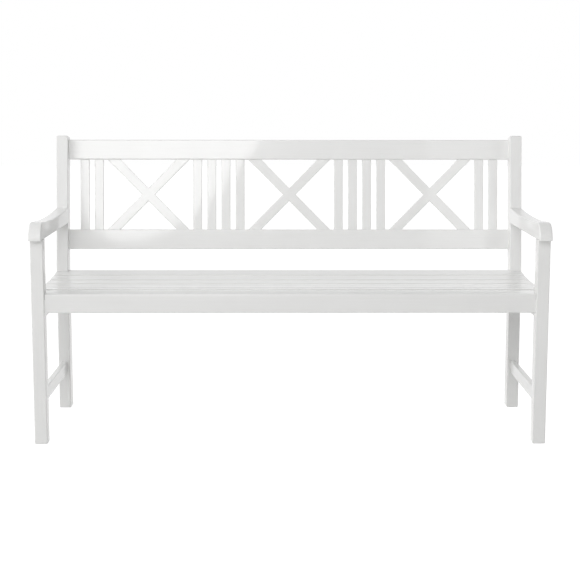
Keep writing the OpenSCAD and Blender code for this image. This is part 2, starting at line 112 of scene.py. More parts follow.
class LacquerSettings(bpy.types.PropertyGroup):
    colour: FloatVectorProperty(
        name="Lacquer colour",
        description="Colour of the sprayed lacquer",
        subtype="COLOR",
        size=3,
        min=0,
        max=1,
        default=linear("EFEFEE"),
    )
    streak_gap: length("Streak spacing", 3.5, "Spacing of the grain streaks under the lacquer")
    streak_run: length("Streak length", 130, "Length of the grain streaks under the lacquer")
    streak_depth: length("Streak depth", 0.03, "Depth of the grain that the lacquer follows")
    peel_size: length("Ripple size", 7, "Size of the ripples that a spray gun leaves")
    peel_depth: length("Ripple depth", 0.006, "Depth of the ripples that a spray gun leaves")
    drift_size: length("Drift size", 160, "Breadth over which the film grows thick or thin")
    thin_film: FloatProperty(
        name="Thin film",
        description="Share of the white that is left where the film is thinnest",
        default=0.975,
        min=0,
        max=1,
    )


class TimberSettings(bpy.types.PropertyGroup):
    arris: length("Arris", 0.8, "Easing of the sawn ends of the seat slats")
    nose_radius: length("Nose radius", 50, "Radius of the round front end of an armrest")
    dip_radius: length("Dip radius", 3200, "Radius of the long hollow in the top of an armrest")
    dip_place: length("Dip place", 288, "From an armrest's front to the lowest point of its dip")
    dip_depth: length("Dip thickness", 42, "Thickness of an armrest at the lowest point of its dip")
    arm_edge: length("Armrest edge", 4, "Rounding of the upper edges of an armrest")
    arm_under: length("Armrest lower edge", 3, "Rounding of the lower edges of an armrest")
    back_slat_edge: length("Back slat edge", 2, "Rounding of the long edges of the back slats")
    seat_slat_edge: length("Seat slat edge", 3, "Rounding of the long edges of the seat slats")
    brace_width: length("Brace width", 30, "Width of a diagonal brace across its face")
    brace_edge: length("Brace edge", 2, "Rounding of the long edges of the braces")
    edge_steps: IntProperty(
        name="Steps in a rounding",
        description="Number of faces across each rounded edge",
        default=5,
        min=1,
        max=12,
    )


class FastenerSettings(bpy.types.PropertyGroup):
    bolt_head: length("Bolt head", 2.5, "Height of a bolt head")
    bolt_shank: length("Bolt shank", 6, "Diameter of a bolt shank")
    bolt_socket: length("Bolt socket", 4, "Width across the flats of the hexagon in a bolt head")
    nut_slot: length("Nut slot", 1.6, "Width of the screwdriver slot in a barrel nut")
    screw_head: length("Screw head", 3, "Height of a screw head")
    screw_shank: length("Screw shank", 4.5, "Diameter of a screw shank")
    screw_cross: length("Screw recess", 4.4, "Width of the cross recess in a screw head")
    rim: length("Rim", 0.4, "Bevel round the rim of a head or a nut")
    cloud_size: length("Cloud size", 2.5, "Breadth of the clouds in the zinc plating")
    sides: IntProperty(
        name="Sides",
        description="Number of faces round a fastener",
        default=32,
        min=12,
        max=96,
    )


class StageSettings(bpy.types.PropertyGroup):
    floor_colour: FloatVectorProperty(
        name="Floor colour",
        description="Colour of the studio floor",
        subtype="COLOR",
        size=3,
        min=0,
        max=1,
        default=linear("E9E9E8"),
    )
    floor_shade: FloatProperty(
        name="Floor shadow",
        description="How strongly shadows show on the lifted floor",
        default=0.3,
        min=0,
        max=1,
    )
    floor_glow: FloatProperty(
        name="Floor lift",
        description="How far the floor is lifted to white for the camera",
        default=0.95,
        min=0,
        max=1,
    )
    wall_left: wall("Left wall", 1.25)
    wall_front: wall("Front wall", 0.45)
    wall_back: wall("Back wall", 0.62)
    oval_power: power("Oval lamp", 49, "Power of the tall oval soft lamp in front on the left")
    strip_power: power("Strip lamp", 2.8, "Power of the narrow soft lamp in front on the right")
    high_power: power("High lamp", 9, "Power of the small soft lamp high on the left")
    side_power: power("Side lamp", 3.2, "Power of the soft lamp close to the right side")
    lens: FloatProperty(
        name="Lens",
        description="Focal length of the camera, in millimetres",
        default=85,
        min=20,
        max=200,
        unit="CAMERA",
    )


def node(tree, kind, links=(), **settings):
    """Adds a node with its settings, and fills its sockets with constants or outputs.

    The links are named, or stand in the order of the sockets. A node among them gives
    its first output, and a list joins several to one socket.
    """
    made = tree.nodes.new(kind)
    for key, value in settings.items():
        setattr(made, key, value)
    for socket, value in links.items() if isinstance(links, dict) else enumerate(links):
        for source in value if isinstance(value, list) else [value]:
            if isinstance(source, bpy.types.Node):
                source = source.outputs[0]
            if isinstance(source, bpy.types.NodeSocket):
                tree.links.new(source, made.inputs[socket])
            else:
                made.inputs[socket].default_value = source
    return made


def new_material(name):
    """An empty node material and the tree to fill."""
    made = bpy.data.materials.new(name)
    made.use_nodes = True
    made.node_tree.nodes.clear()
    return made, made.node_tree


def between(ramp, low, low_colour, high, high_colour):
    """Lets a ramp run from one colour to another between two values."""
    first, last = ramp.color_ramp.elements
    first.position, first.color = low, (*low_colour, 1)
    last.position, last.color = high, (*high_colour, 1)


def lacquer_material(settings):
    """White gloss lacquer sprayed over planed hardwood.

    The eye gets a neutral white with sharp, slightly rippled reflections at low angles,
    and faint long streaks where the lacquer follows the grain.
    """
    made, tree = new_material("gloss_lacquer_on_planed_hardwood")
    grain = node(tree, "ShaderNodeAttribute", attribute_name="grain").outputs["Vector"]
    # Open grain is about 1 mm across, under a pixel of the photograph, so it is drawn
    # at streak_gap to show at all
    gap, run = settings.streak_gap * 1000, settings.streak_run * 1000
    streaks = node(
        tree,
        "ShaderNodeTexNoise",
        {
            "Vector": node(
                tree,
                "ShaderNodeMapping",
                {"Vector": grain, "Scale": (1 / run, 1 / gap, 1 / gap)},
            ),
            "Scale": 1.0,
            "Detail": 4.0,
            "Roughness": 0.6,
        },
    )
    # Spray ripple, the same size in every direction
    ripple = node(
        tree,
        "ShaderNodeTexNoise",
        {"Vector": grain, "Scale": 1 / (settings.peel_size * 1000), "Detail": 1.0},
    )
    # Film thickness drifts over a hand's breadth, and whitens or greys by about 1%
    drift = node(
        tree,
        "ShaderNodeTexNoise",
        {"Vector": grain, "Scale": 1 / (settings.drift_size * 1000), "Detail": 2.0},
    )
    base = Vector(settings.colour)
    film = node(tree, "ShaderNodeValToRGB", (drift,))
    between(film, 0.3, base * settings.thin_film, 0.7, base)
    # Over the open grain the white turns a trace darker and warmer
    shade = node(tree, "ShaderNodeValToRGB", (streaks,))
    between(shade, 0.3, (0.982, 0.981, 0.978), 0.55, (1, 1, 1))
    colour = node(
        tree,
        "ShaderNodeMix",
        {0: 1.0, 6: film, 7: shade},
        data_type="RGBA",
        blend_type="MULTIPLY",
    )
    # The gloss is a little duller where the grain drinks the lacquer
    dull = node(
        tree,
        "ShaderNodeMapRange",
        {"Value": streaks, "From Min": 0.3, "From Max": 0.7, "To Min": 0.42, "To Max": 0.34},
    )
    bump = node(
        tree,
        "ShaderNodeBump",
        {"Strength": 1.0, "Distance": settings.peel_depth, "Height": ripple},
    )
    bump = node(
        tree,
        "ShaderNodeBump",
        {"Strength": 1.0, "Distance": settings.streak_depth, "Height": streaks, "Normal": bump},
    )
    shader = node(
        tree,
        "ShaderNodeBsdfPrincipled",
        {
            "Base Color": colour.outputs[2],
            "Roughness": dull,
            "IOR": 1.5,
            "Normal": bump,
            "Coat Weight": 0.7,
            "Coat Roughness": 0.03,
            "Coat IOR": 1.5,
            "Coat Normal": bump,
        },
    )
    node(tree, "ShaderNodeOutputMaterial", {"Surface": shader})
    return made


def zinc_material(settings):
    """Bright zinc plated steel of the bolts, nuts and screws.

    The eye gets a cool grey metal, cloudy where the plating's crystals differ.
    """
    made, tree = new_material("zinc_plated_steel")
    place = node(tree, "ShaderNodeTexCoord").outputs["Object"]
    clouds = node(
        tree,
        "ShaderNodeTexNoise",
        {"Vector": place, "Scale": 1 / settings.cloud_size, "Detail": 3.0},
    )
    tone = node(tree, "ShaderNodeValToRGB", (clouds,))
    between(tone, 0.3, linear("AEB1B4"), 0.7, linear("CDCFD0"))
    dull = node(
        tree,
        "ShaderNodeMapRange",
        {"Value": clouds, "From Min": 0.3, "From Max": 0.7, "To Min": 0.24, "To Max": 0.38},
    )
    shader = node(
        tree,
        "ShaderNodeBsdfPrincipled",
        {"Base Color": tone, "Metallic": 1.0, "Roughness": dull},
    )
    node(tree, "ShaderNodeOutputMaterial", {"Surface": shader})
    return made


def finish(name, make, settings):
    """The material of that name, made the first time it is asked for."""
    return bpy.data.materials.get(name) or make(settings)


def lacquer():
    """The finish of all timber."""
    settings = bpy.context.scene.bench_lacquer
    return finish("gloss_lacquer_on_planed_hardwood", lacquer_material, settings)


def zinc():
    """The finish of all fasteners."""
    return finish("zinc_plated_steel", zinc_material, bpy.context.scene.bench_fasteners)


def lay_grain(mesh, along, number):
    """Stores each point's place along and across the grain, in mm.

    The number moves each piece on, so that no two timbers share a stretch of grain.
    """
    along = Vector(along).normalized()
    across = along.cross(Vector((0, 1, 0)) if abs(along.y) < 0.9 else Vector((1, 0, 0)))
    across.normalize()
    third = along.cross(across)
    co = np.empty(len(mesh.vertices) * 3)
    mesh.vertices.foreach_get("co", co)
    turned = co.reshape(-1, 3) @ np.array([along, across, third]).T * 1000
    turned += number * STRETCH
    layer = mesh.attributes.get("grain")
    if layer is None:
        layer = mesh.attributes.new("grain", "FLOAT_VECTOR", "POINT")
    layer.data.foreach_set("vector", turned.astype(np.float32).ravel())


def bake(piece):
    """Turns the result of a piece's modifiers into its own plain mesh."""
    graph = bpy.context.evaluated_depsgraph_get()
    plain = bpy.data.meshes.new_from_object(piece.evaluated_get(graph))
    piece.modifiers.clear()
    old = piece.data
    piece.data = plain
    bpy.data.meshes.remove(old)


def true_normals(piece):
    """Shades rounded edges smoothly, and keeps the flat faces beside them flat."""
    piece.data.shade_smooth()
    piece.data.set_sharp_from_angle(angle=SHARP)
    weighted = piece.modifiers.new("Flat faces lead", "WEIGHTED_NORMAL")
    weighted.keep_sharp = True
    # The most there is, so that a large face alone sets the shading at its edges
    weighted.weight = 100
    bake(piece)


def new_piece(name, mesh, finish, slot, *nodes):
    """An object for a mesh, with its finish, that stands for the CAD nodes."""
    piece = bpy.data.objects.new(name, mesh)
    bpy.context.scene.collection.objects.link(piece)
    mesh.materials.clear()
    mesh.materials.append(finish)
    piece["stands_for"] = list(nodes)
    piece["finish_slot"] = slot
    return piece


def ready(piece):
    """Hands a finished piece to the frame."""
    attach(piece, "root")
    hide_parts(*piece["stands_for"])
    del piece["stands_for"], piece["finish_slot"]


def merged(name):
    """A copy of a CAD node's mesh with its loose triangles joined into flat faces."""
    form = bmesh.new()
    form.from_mesh(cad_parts[name].data)
    bmesh.ops.remove_doubles(form, verts=form.verts, dist=SAME_POINT)
    bmesh.ops.dissolve_limit(
        form, angle_limit=FLAT, verts=form.verts, edges=form.edges
    )
    return form


def solids(name, *hints, outward=False):
    """Place, axes and size of each separate solid in a CAD node.

    Each axis is the solid's own direction that lies nearest to one of the two hints,
    and the third stands square on them. Where outward is set, the first axis points
    away from the middle of the bench.
    """
    form = bmesh.new()
    form.from_mesh(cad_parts[name].data)
    bmesh.ops.remove_doubles(form, verts=form.verts, dist=SAME_POINT)
    left, found = set(form.verts), []
    while left:
        heap, points = [left.pop()], []
        while heap:
            vert = heap.pop()
            points.append(tuple(vert.co))
            for edge in vert.link_edges:
                other = edge.other_vert(vert)
                if other in left:
                    left.remove(other)
                    heap.append(other)
        points = np.array(points)
        own = np.linalg.eigh(np.cov(points.T))[1].T
        axes = []
        for hint in hints:
            hint = np.array(hint)
            if outward and not axes:
                hint = hint * np.sign(points[:, 0].mean())
            axis = max(own, key=lambda a, h=hint: abs(a @ h))
            axes.append(Vector(axis) if axis @ hint > 0 else -Vector(axis))
        axes.append(axes[0].cross(axes[1]))
        spread = points @ np.array(axes).T
        lo, hi = spread.min(0), spread.max(0)
        place = sum((a * m for a, m in zip(axes, (lo + hi) / 2)), Vector())
        found.append((place, Matrix(axes).transposed(), hi - lo))
    form.free()
    return sorted(found, key=lambda solid: [round(v, 4) for v in solid[0]])


def new_tree(name, *sizes, steps="Steps"):
    """A node tree for a modifier, with a named input for each of its sizes."""
    tree = bpy.data.node_groups.new(name, "GeometryNodeTree")
    tree.is_modifier = True
    sockets = tree.interface
    sockets.new_socket("Sites", in_out="INPUT", socket_type="NodeSocketGeometry")
    for size in sizes:
        made = sockets.new_socket(size, in_out="INPUT", socket_type="NodeSocketFloat")
        made.subtype = "DISTANCE"
        made.min_value = 0
    sockets.new_socket(steps, in_out="INPUT", socket_type="NodeSocketInt").min_value = 1
    sockets.new_socket("Finish", in_out="INPUT", socket_type="NodeSocketMaterial")
    sockets.new_socket("Pieces", in_out="OUTPUT", socket_type="NodeSocketGeometry")
    return tree, node(tree, "NodeGroupInput").outputs


def bar(tree, long, wide, thick, edge, steps):
    """A planed bar along X, Y wide and Z thick: a rounded section swept between sawn ends."""
    section = node(
        tree,
        "GeometryNodeCurvePrimitiveQuadrilateral",
        {"Width": wide, "Height": thick},
        mode="RECTANGLE",
    )
    section = node(
        tree,
        "GeometryNodeFilletCurve",
        {"Curve": section, "Count": steps, "Radius": edge},
        mode="POLY",
    )
    ends = []
    for half in (-0.5, 0.5):
        end = node(tree, "ShaderNodeMath", (long, half), operation="MULTIPLY")
        ends.append(node(tree, "ShaderNodeCombineXYZ", {"X": end}))
    line = node(tree, "GeometryNodeCurvePrimitiveLine", {"Start": ends[0], "End": ends[1]})
    return node(
        tree,
        "GeometryNodeCurveToMesh",
        {"Curve": line, "Profile Curve": section, "Fill Caps": True},
    )


def turned(tree, sides, *rows):
    """Round steps along Z, joined. Each row is the lowest Z, the height and two diameters."""
    forms = []
    for low, high, below, above in rows:
        radii = [
            node(tree, "ShaderNodeMath", (diameter, 0.5), operation="MULTIPLY")
            for diameter in (above, below)
        ]
        form = node(
            tree,
            "GeometryNodeMeshCone",
            {
                "Vertices": sides,
                "Radius Top": radii[0],
                "Radius Bottom": radii[1],
                "Depth": high,
            },
        )
        lift = node(tree, "ShaderNodeCombineXYZ", {"Z": low})
        forms.append(node(tree, "GeometryNodeTransform", {"Geometry": form, "Translation": lift}))
    if len(forms) == 1:
        return forms[0]
    return node(
        tree, "GeometryNodeMeshBoolean", {"Mesh 2": forms}, operation="UNION", solver="EXACT"
    )


def block(tree, *size):
    """A box round the middle, of three sizes in X, Y and Z."""
    size = node(tree, "ShaderNodeCombineXYZ", size)
    return node(tree, "GeometryNodeMeshCube", {"Size": size})


def on_sites(tree, given, form, grain=None):
    """Puts a copy of a form on each site, turned as the site says, and gives it its finish.

    The grain is each point's place along and across the timber. It is laid in mm on the
    corners of the faces, and each copy has its own stretch of it.
    """
    if grain is not None:
        grain = node(
            tree, "ShaderNodeVectorMath", (grain, (1000, 1000, 1000)), operation="MULTIPLY"
        )
        form = node(
            tree,
            "GeometryNodeStoreNamedAttribute",
            {"Geometry": form, "Name": "grain", "Value": grain},
            data_type="FLOAT_VECTOR",
            domain="CORNER",
        )
    turn = node(
        tree, "GeometryNodeInputNamedAttribute", {"Name": "turn"}, data_type="FLOAT_VECTOR"
    )
    turn = node(tree, "FunctionNodeEulerToRotation", (turn,))
    copies = node(
        tree,
        "GeometryNodeInstanceOnPoints",
        {"Points": given["Sites"], "Instance": form, "Rotation": turn},
    )
    made = node(tree, "GeometryNodeRealizeInstances", {"Geometry": copies})
    if grain is not None:
        stretch = node(
            tree,
            "FunctionNodeRandomValue",
            {
                0: (0, 0, 0),
                1: RANDOM_STRETCH,
                "ID": node(tree, "GeometryNodeInputMeshIsland"),
                "Seed": 7,
            },
            data_type="FLOAT_VECTOR",
        )
        laid = node(
            tree, "GeometryNodeInputNamedAttribute", {"Name": "grain"}, data_type="FLOAT_VECTOR"
        )
        moved = node(tree, "ShaderNodeVectorMath", (laid, stretch), operation="ADD")
        made = node(
            tree,
            "GeometryNodeStoreNamedAttribute",
            {"Geometry": made, "Name": "grain", "Value": moved},
            data_type="FLOAT_VECTOR",
            domain="CORNER",
        )
    made = node(tree, "GeometryNodeSetMaterial", {"Geometry": made, "Material": given["Finish"]})
    node(tree, "NodeGroupOutput", {"Pieces": made})


def slat_tree():
    """Planed slats, one on each site, with their grain along them."""
    tree, given = new_tree("planed_slats", "Length", "Width", "Thickness", "Edge")
    form = bar(tree, *(given[k] for k in ("Length", "Width", "Thickness", "Edge", "Steps")))
    on_sites(tree, given, form, node(tree, "GeometryNodeInputPosition"))
    return tree


def brace_tree():
    """Pairs of crossed braces, one pair in each square panel of the back.

    A panel lies in X and Z. The edges of each brace run to the corners of the space
    between two slats, so its slope follows from that space and its own width. The two
    are halved into each other and finish flush, and their ends are cut level.
    """
    tree, given = new_tree("crossed_braces", "Width", "Height", "Brace width", "Thickness", "Edge")
    wide, high, own, thick = (given[k] for k in ("Width", "Height", "Brace width", "Thickness"))
    squares = [
        node(tree, "ShaderNodeMath", (side, side), operation="MULTIPLY") for side in (wide, high)
    ]
    diagonal = node(tree, "ShaderNodeMath", squares, operation="ADD")
    diagonal = node(tree, "ShaderNodeMath", (diagonal,), operation="SQRT")
    corners = node(tree, "ShaderNodeMath", (high, wide), operation="ARCTAN2")
    extra = node(tree, "ShaderNodeMath", (own, diagonal), operation="DIVIDE")
    extra = node(tree, "ShaderNodeMath", (extra,), operation="ARCSINE")
    slope = node(tree, "ShaderNodeMath", (corners, extra), operation="ADD")
    # Each strip starts half as long again as the diagonal, and is cut level further down
    long = node(tree, "ShaderNodeMath", (diagonal, 1.5), operation="MULTIPLY")
    strip = bar(tree, long, thick, own, given["Edge"], given["Steps"])
    place = node(tree, "GeometryNodeInputPosition")
    strips, grains = [], []
    for way in (-1, 1):
        angle = node(tree, "ShaderNodeMath", (slope, way), operation="MULTIPLY")
        turn = node(tree, "ShaderNodeCombineXYZ", {"Y": angle})
        strips.append(node(tree, "GeometryNodeTransform", {"Geometry": strip, "Rotation": turn}))
        back = node(tree, "ShaderNodeMath", (angle, -1), operation="MULTIPLY")
        grains.append(
            node(
                tree,
                "ShaderNodeVectorRotate",
                {"Vector": place, "Angle": back},
                rotation_type="Y_AXIS",
            )
        )
    cross = node(
        tree, "GeometryNodeMeshBoolean", {"Mesh 2": strips}, operation="UNION", solver="EXACT"
    )
    # The space between the rails, with room to spare at the sides, in front and behind
    room = block(
        tree,
        node(tree, "ShaderNodeMath", (wide, 2), operation="MULTIPLY"),
        node(tree, "ShaderNodeMath", (thick, 3), operation="MULTIPLY"),
        high,
    )
    cross = node(
        tree,
        "GeometryNodeMeshBoolean",
        {"Mesh 2": [cross, room]},
        operation="INTERSECT",
        solver="EXACT",
    )
    # A face belongs to the rising brace where its middle lies within that brace's width
    off = node(tree, "ShaderNodeSeparateXYZ", (grains[0],)).outputs["Z"]
    off = node(tree, "GeometryNodeFieldOnDomain", (off,), data_type="FLOAT", domain="FACE")
    off = node(tree, "ShaderNodeMath", (off,), operation="ABSOLUTE")
    half = node(tree, "ShaderNodeMath", (own, 0.51), operation="MULTIPLY")
    rising = node(tree, "ShaderNodeMath", (off, half), operation="LESS_THAN")
    grain = node(
        tree,
        "ShaderNodeMix",
        {"Factor": rising, 4: grains[1], 5: grains[0]},
        data_type="VECTOR",
    )
    on_sites(tree, given, cross, grain.outputs[1])
    return tree


def fastener_tree(name, point, *more):
    """A headed fastener along Z, with the outer face of its head on the site.

    Its tip narrows to a point, given as a share of the shank, and more names further
    inputs. The tree, its inputs and the plain form come back.
    """
    sizes = ("Length", "Head diameter", "Head height", "Shank diameter", "Rim")
    tree, given = new_tree(name, *sizes, *more, steps="Sides")
    long, head, high, shank, rim = (given[size] for size in sizes)
    face = node(tree, "ShaderNodeMath", (rim, -1), operation="MULTIPLY")
    eased = node(tree, "ShaderNodeMath", (head, rim), operation="SUBTRACT")
    under = node(tree, "ShaderNodeMath", (high, -1), operation="MULTIPLY")
    drum = node(tree, "ShaderNodeMath", (high, rim), operation="SUBTRACT")
    foot = node(tree, "ShaderNodeMath", (shank, long), operation="SUBTRACT")
    straight = node(tree, "ShaderNodeMath", (under, foot), operation="SUBTRACT")
    end = node(tree, "ShaderNodeMath", (long, -1), operation="MULTIPLY")
    tip = node(tree, "ShaderNodeMath", (shank, point), operation="MULTIPLY")
    form = turned(
        tree,
        given["Sides"],
        (face, rim, head, eased),
        (under, drum, head, head),
        (foot, straight, shank, shank),
        (end, shank, tip, shank),
    )
    return tree, given, form


def cut_away(tree, given, form, *cutters):
    """Cuts a fastener's recesses and puts a copy on each site."""
    form = node(
        tree,
        "GeometryNodeMeshBoolean",
        {"Mesh 1": form, "Mesh 2": list(cutters)},
        operation="DIFFERENCE",
        solver="EXACT",
    )
    on_sites(tree, given, form)
    return tree


def bolt_tree():
    """Socket bolts, with a hexagon sunk in a flat head."""
    tree, given, form = fastener_tree("socket_bolt", 0.8, "Socket")
    high, flats = given["Head height"], given["Socket"]
    # The hexagon is as wide as the key across its flats, and goes 70% into the head
    corners = node(tree, "ShaderNodeMath", (flats, 2 / math.sqrt(3)), operation="MULTIPLY")
    bottom = node(tree, "ShaderNodeMath", (high, -0.7), operation="MULTIPLY")
    return cut_away(tree, given, form, turned(tree, 6, (bottom, high, corners, corners)))


def screw_tree():
    """Pointed screws, with a cross recess in the head."""
    tree, given, form = fastener_tree("cross_head_screw", 0.3, "Recess")
    wide = given["Recess"]
    # Each arm is a quarter as wide as the cross, and goes 60% into the head
    arm = node(tree, "ShaderNodeMath", (wide, 0.25), operation="MULTIPLY")
    deep = node(tree, "ShaderNodeMath", (given["Head height"], 1.2), operation="MULTIPLY")
    return cut_away(tree, given, form, block(tree, wide, arm, deep), block(tree, arm, wide, deep))


def nut_tree():
    """Barrel nuts, with a slot in the end to turn them and a hole across for the bolt."""
    sizes = ("Length", "Diameter", "Hole", "Slot", "Rim")
    tree, given = new_tree("barrel_nut", *sizes, steps="Sides")
    long, wide, hole, slot, rim = (given[size] for size in sizes)
    face = node(tree, "ShaderNodeMath", (rim, -1), operation="MULTIPLY")
    end = node(tree, "ShaderNodeMath", (long, -1), operation="MULTIPLY")
    eased = node(tree, "ShaderNodeMath", (wide, rim), operation="SUBTRACT")
    low = node(tree, "ShaderNodeMath", (end, rim), operation="ADD")
    rims = node(tree, "ShaderNodeMath", (rim, 2), operation="MULTIPLY")
    drum = node(tree, "ShaderNodeMath", (long, rims), operation="SUBTRACT")
    form = turned(
        tree,
        given["Sides"],
        (face, rim, wide, eased),
        (low, drum, wide, wide),
        (end, rim, eased, wide),
    )
    # The slot runs out at both sides, and is a fifth of the diameter deep
    across = node(tree, "ShaderNodeMath", (wide, 2), operation="MULTIPLY")
    deep = node(tree, "ShaderNodeMath", (wide, 0.4), operation="MULTIPLY")
    slot = block(tree, across, slot, deep)
    # The bore is made along Z, 20 mm long, and laid across the middle
    bore = turned(tree, given["Sides"], (-0.01, 0.02, hole, hole))
    middle = node(tree, "ShaderNodeMath", (long, -0.5), operation="MULTIPLY")
    bore = node(
        tree,
        "GeometryNodeTransform",
        {
            "Geometry": bore,
            "Translation": node(tree, "ShaderNodeCombineXYZ", {"Z": middle}),
            "Rotation": (0, math.pi / 2, 0),
        },
    )
    return cut_away(tree, given, form, slot, bore)


def grown(name, tree, sites, inputs, slot, *nodes, arris=0):
    """A piece that a node tree makes, with a copy on each site, as a plain mesh.

    A site is a place and the axes that the copy's X, Y and Z take there.
    """
    mesh = bpy.data.meshes.new(name)
    mesh.from_pydata([place for place, _ in sites], [], [])
    turns = [angle for _, axes in sites for angle in axes.to_euler()]
    mesh.attributes.new("turn", "FLOAT_VECTOR", "POINT").data.foreach_set("vector", turns)
    piece = new_piece(name, mesh, inputs["Finish"], slot, *nodes)
    maker = piece.modifiers.new(tree.name, "NODES")
    maker.node_group = tree
    for item in tree.interface.items_tree:
        if item.name in inputs:
            maker[item.identifier] = inputs[item.name]
    if arris:
        eased = piece.modifiers.new("Eased sawn ends", "BEVEL")
        eased.width = arris
        eased.segments = 2
        eased.limit_method = "ANGLE"
        # Only the sawn ends turn by more than this, not the steps of a rounding
        eased.angle_limit = math.radians(60)
    bake(piece)
    # The tree's finish comes out as a second slot, so the slots are laid out anew
    piece.data.materials.clear()
    piece.data.materials.append(inputs["Finish"])
    true_normals(piece)
    ready(piece)
    return piece


def timber(name, along, number):
    """A lacquered copy of one CAD timber."""
    mesh = bpy.data.meshes.new(name + "_lacquered")
    form = merged(name)
    form.to_mesh(mesh)
    form.free()
    piece = new_piece(name + "_lacquered", mesh, lacquer(), "white_lacquer", name)
    true_normals(piece)
    lay_grain(piece.data, along, number)
    ready(piece)
    return piece


def dress_timbers(names, along, start):
    """Lacquered copies of CAD timbers whose grain runs one way."""
    for number, name in enumerate(names, start):
        timber(name, along, number)


class BENCH_OT_legs(bpy.types.Operator):
    """Lacquers the four legs, whose grain runs up them"""

    bl_idname = "bench.legs"
    bl_label = "Legs"

    def execute(self, context):
        dress_timbers([f"front_leg_{side}" for side in SIDES], (0, 0, 1), 1)
        dress_timbers([f"rear_leg_{side}" for side in SIDES], (0, 0, 1), 3)
        return {"FINISHED"}


class BENCH_OT_rails(bpy.types.Operator):
    """Lacquers the long rails, the side rails, the bearers and the stretchers"""

    bl_idname = "bench.rails"
    bl_label = "Rails"

    def execute(self, context):
        long_rails = ["front_seat_rail", "rear_seat_rail", "back_top_rail", "back_bottom_rail"]
        dress_timbers(long_rails, (1, 0, 0), 10)
        across = ("side_stretcher", "seat_side_rail", "seat_bearer")
        dress_timbers([f"{kind}_{side}" for kind in across for side in SIDES], (0, 1, 0), 20)
        return {"FINISHED"}


def arm_outline(settings, lo, hi, rake):
    """Side view of an armrest, as points in Y and Z from its foot round the nose to the post.

    The nose is round, the dip is one long arc that starts where the nose ends, and the
    rear end is cut to the rake of the post. hi is the upper rear corner.
    """
    nose, dip = settings.nose_radius, settings.dip_radius
    dip_y, dip_z = lo.y + settings.dip_place, lo.z + settings.dip_depth + dip
    nose_y = lo.y + nose
    nose_z = dip_z - math.sqrt((nose + dip) ** 2 - (dip_y - nose_y) ** 2)
    # Angle from straight up at which the nose meets the dip, seen from either centre
    meet = math.asin((dip_y - nose_y) / (nose + dip))
    points = [(lo.y, lo.z)]
    # The arc starts clear of the rounding of the foot
    for step in range(2, OUTLINE_STEPS + 1):
        turn = -math.pi / 2 + (math.pi / 2 + meet) * step / OUTLINE_STEPS
        points.append((nose_y + nose * math.sin(turn), nose_z + nose * math.cos(turn)))
    last = math.asin((hi.y - dip_y) / dip)
    for step in range(1, OUTLINE_STEPS + 1):
        turn = -meet + (last + meet) * step / OUTLINE_STEPS
        points.append((dip_y + dip * math.sin(turn), dip_z - dip * math.cos(turn)))
    points.append((hi.y - (points[-1][1] - lo.z) * math.tan(rake), lo.z))
    return [Vector((0, y, z)) for y, z in points]


def armrest_mesh(name, outline, left, right, settings):
    """The outline carried across the arm, drawn in at both sides to round its edges."""
    count = len(outline)
    inward = []
    for k, point in enumerate(outline):
        ahead = (outline[(k + 1) % count] - point).normalized()
        behind = (point - outline[k - 1]).normalized()
        if k == count - 2:
            # The rear end butts on the post, so its corners move along it
            inward.append(ahead / abs(ahead.cross(behind).x))
            continue
        if k == count - 1:
            inward.append(-behind / abs(ahead.cross(behind).x))
            continue
        # Halfway between the two edges, and longer at a corner so that both move alike
        square = Vector((0, behind.z + ahead.z, -behind.y - ahead.y)).normalized()
        own = Vector((0, ahead.z, -ahead.y))
        inward.append(square / max(square.dot(own), 0.3))
    under = {0, count - 1}
    steps = settings.edge_steps
    form = bmesh.new()
    rings = []
    for side, order in ((left, range(steps + 1)), (right, range(steps, -1, -1))):
        way = 1 if side == left else -1
        for step in order:
            turn = math.pi / 2 * step / steps
            ring = []
            for k, point in enumerate(outline):
                edge = settings.arm_under if k in under else settings.arm_edge
                moved = point + inward[k] * edge * (1 - math.sin(turn))
                moved.x = side + way * edge * (1 - math.cos(turn))
                ring.append(form.verts.new(moved))
            rings.append(ring)
    for one, two in zip(rings, rings[1:]):
        for k in range(count):
            form.faces.new((one[k], one[(k + 1) % count], two[(k + 1) % count], two[k]))
    form.faces.new(rings[0])
    form.faces.new(rings[-1])
    bmesh.ops.recalc_face_normals(form, faces=form.faces)
    mesh = bpy.data.meshes.new(name)
    form.to_mesh(mesh)
    form.free()
    return mesh


class BENCH_OT_armrests(bpy.types.Operator):
    """Shapes the armrests, with a round nose, a long dip and rounded edges"""

    bl_idname = "bench.armrests"
    bl_label = "Armrests"

    def execute(self, context):
        settings = context.scene.bench_timber
        axes = solids("back_slat_01", (0, 0, 1), (0, -1, 0))[0][1]
        rake = math.atan2(axes[1][0], axes[2][0])
        for number, side in enumerate(SIDES):
            name = f"armrest_{side}"
            lo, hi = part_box(name)
            outer = lo.x if abs(lo.x) > abs(hi.x) else hi.x
            form = merged(name)
            # The outer face stops at the post, and only the hidden tenon goes on into it
            corners = [v.co.copy() for v in form.verts if abs(v.co.x - outer) < 1e-5]
            rear = max(corners, key=lambda co: (round(co.y, 5), co.z))
            form.free()
            outline = arm_outline(settings, lo, rear, rake)
            mesh = armrest_mesh(name + "_lacquered", outline, lo.x, hi.x, settings)
            piece = new_piece(name + "_lacquered", mesh, lacquer(), "white_lacquer", name)
            true_normals(piece)
            lay_grain(piece.data, (0, 1, 0), 30 + number)
            ready(piece)
        return {"FINISHED"}


def slats(piece, names, hints, edge, arris=0):
    """Planed slats in place of the CAD ones, all of one section and length."""
    found = [solid for name in names for solid in solids(name, *hints)]
    long, wide, thick = (float(size) for size in found[0][2])
    inputs = {
        "Length": long,
        "Width": wide,
        "Thickness": thick,
        "Edge": edge,
        "Steps": bpy.context.scene.bench_timber.edge_steps,
        "Finish": lacquer(),
    }
    sites = [(place, axes) for place, axes, _ in found]
    return grown(piece, slat_tree(), sites, inputs, "white_lacquer", *names, arris=arris)


